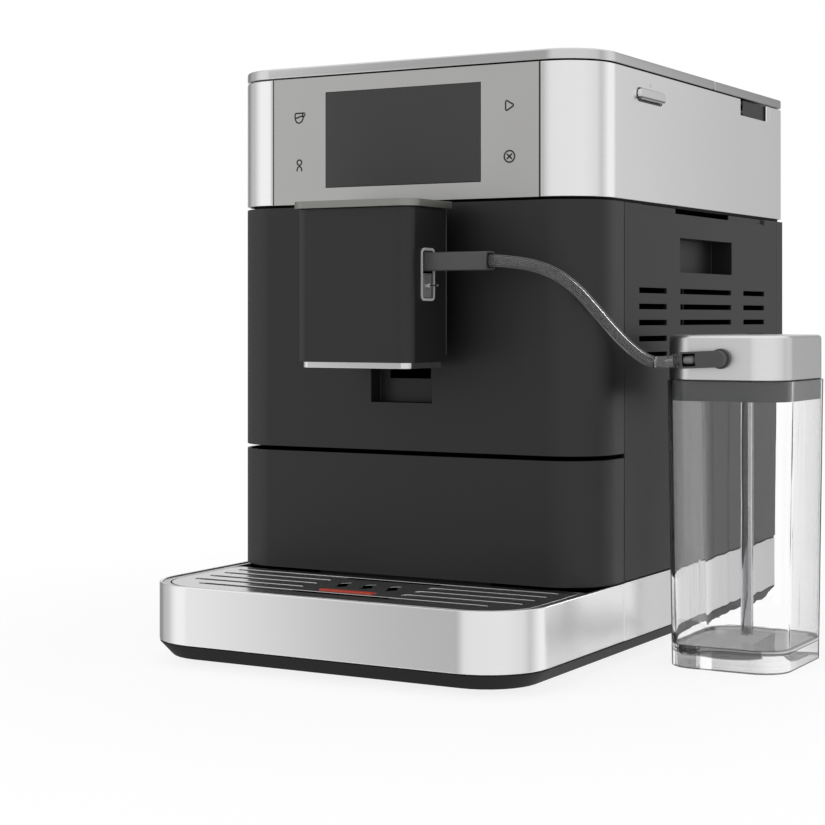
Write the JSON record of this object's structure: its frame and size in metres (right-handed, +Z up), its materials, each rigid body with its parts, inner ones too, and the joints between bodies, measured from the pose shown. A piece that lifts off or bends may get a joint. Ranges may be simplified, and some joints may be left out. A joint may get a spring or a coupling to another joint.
{
  "type": "bean to cup coffee machine",
  "caption": "Countertop coffee machine with a sliding spout, touch screen, drip tray drawer, hinged lids, lift-out water tank and a milk container on a short hose.",
  "frame": {"origin": "middle of the base of the machine with its milk container, on the table", "axes": "+Z up, -Y towards the user in front of the machine, +X towards the milk container"},
  "size_m": [0.3824, 0.464, 0.392],
  "materials": {
    "black_plastic": "fine matte texture",
    "side_plastic": "fine matte texture",
    "dark_plastic": "matte",
    "grey_plastic": "satin",
    "brushed_steel": "brushed",
    "polished_steel": "polished",
    "screen_glass": "gloss",
    "clear_smoke": "clear, smoke tinted",
    "red_plastic": "satin",
    "rubber": "matte",
    "sheet_steel": "bare sheet",
    "cast_metal": "cast",
    "white_plastic": "satin",
    "green_board": "satin"
  },
  "bodies": {
    "machine": {"plinth": "dark_plastic", "foot_front_left": "rubber", "foot_front_right": "rubber", "foot_rear_left": "rubber", "foot_rear_right": "rubber", "base_band": "brushed_steel", "chassis": "sheet_steel", "top_deck": "sheet_steel", "upper_front_panel": "black_plastic", "side_panel_left": "side_plastic", "rear_panel": "side_plastic", "power_inlet": "dark_plastic", "upper_band": "brushed_steel", "control_panel": "brushed_steel", "touch_screen": "screen_glass", "front_lid_pin": "polished_steel", "bean_hopper": "clear_smoke", "grinder_housing": "cast_metal", "upper_burr": "cast_metal", "grinder_motor": "dark_plastic", "powder_chute": "dark_plastic", "brew_frame": "sheet_steel", "brew_chamber": "grey_plastic", "brew_gear_motor": "dark_plastic", "thermoblock": "cast_metal", "pump": "dark_plastic", "water_valve": "dark_plastic", "control_board": "green_board", "milk_hose": "clear_smoke", "milk_container": "clear_smoke"},
    "spout": {"spout_housing": "black_plastic", "spout_cap": "brushed_steel", "spout_trim": "polished_steel", "nozzle_block": "dark_plastic", "spout_carriage": "dark_plastic", "port_bezel": "polished_steel", "port_cover": "grey_plastic", "steam_pin": "polished_steel", "milk_plug": "grey_plastic"},
    "tray_drawer": {"tray_basin": "grey_plastic", "tray_band": "brushed_steel", "lower_front_cover": "black_plastic", "grounds_container": "dark_plastic"},
    "grille": {"drip_grille": "polished_steel"},
    "float": {"tray_float": "red_plastic"},
    "front_lid": {"front_lid": "brushed_steel"},
    "tank": {"water_tank": "clear_smoke", "tank_lid_pin": "polished_steel"},
    "tank_lid": {"tank_lid": "brushed_steel"},
    "side_door": {"side_door": "side_plastic"},
    "button": {"release_button": "polished_steel"},
    "dial": {"grind_dial": "grey_plastic"},
    "burr": {"lower_burr": "polished_steel"},
    "spindle": {"brew_spindle": "polished_steel"},
    "piston": {"brew_piston": "white_plastic"},
    "jug_lid": {"container_lid": "brushed_steel", "lid_seal": "rubber", "suction_tube": "clear_smoke", "milk_elbow": "grey_plastic"}
  },
  "joints": [
    {"name": "spout_height", "type": "slide", "parent": "machine", "child": "spout", "axis": [0, 0, 1], "range_m": [-0.055, 0], "deforming": ["milk_hose"]},
    {"name": "tray_pull", "type": "slide", "parent": "machine", "child": "tray_drawer", "axis": [0, -1, 0], "range_m": [0, 0.2]},
    {"name": "grille_lift", "type": "slide", "parent": "tray_drawer", "child": "grille", "axis": [0, 0, 1], "range_m": [0, 0.04]},
    {"name": "float_rise", "type": "slide", "parent": "grille", "child": "float", "axis": [0, 0, 1], "range_m": [0, 0.006]},
    {"name": "front_lid_open", "type": "hinge", "parent": "machine", "child": "front_lid", "pos_m": [-0.053, 0.0806, 0.3892], "axis": [-1, 0, 0], "range_deg": [0, 90]},
    {"name": "tank_lift", "type": "slide", "parent": "machine", "child": "tank", "axis": [0, 0, 1], "range_m": [0, 0.12]},
    {"name": "tank_lid_open", "type": "hinge", "parent": "tank", "child": "tank_lid", "pos_m": [-0.1882, 0.1584, 0.3883], "axis": [0, -1, 0], "range_deg": [0, 95]},
    {"name": "side_door_tilt", "type": "hinge", "parent": "machine", "child": "side_door", "pos_m": [0.08395, 0.0772, 0.0543], "axis": [0, 1, 0], "range_deg": [0, 7]},
    {"name": "release_press", "type": "slide", "parent": "machine", "child": "button", "axis": [-1, 0, 0], "range_m": [0, 0.0025], "stiffness_N_per_m": 800},
    {"name": "grind_dial_turn", "type": "hinge", "parent": "machine", "child": "dial", "pos_m": [0.059, 0.0244, 0.3718], "axis": [0, 0, 1], "range_deg": [0, 270]},
    {"name": "burr_spin", "type": "hinge", "parent": "machine", "child": "burr", "pos_m": [-0.088, -0.0106, 0.2835], "axis": [0, 0, 1], "continuous": true},
    {"name": "spindle_turn", "type": "hinge", "parent": "machine", "child": "spindle", "pos_m": [0.017, -0.0106, 0.1524], "axis": [0, 0, 1], "range_deg": [0, 1800]},
    {"name": "piston_lift", "type": "slide", "parent": "machine", "child": "piston", "axis": [0, 0, 1], "range_m": [0, 0.025]},
    {"name": "container_lid_lift", "type": "slide", "parent": "machine", "child": "jug_lid", "axis": [0, 0, 1], "range_m": [0, 0.02], "deforming": ["milk_hose"]}
  ],
  "couplings": [
    {"joint": "spindle_turn", "follows": "piston_lift", "rad_per_m": 1256.6}
  ]
}
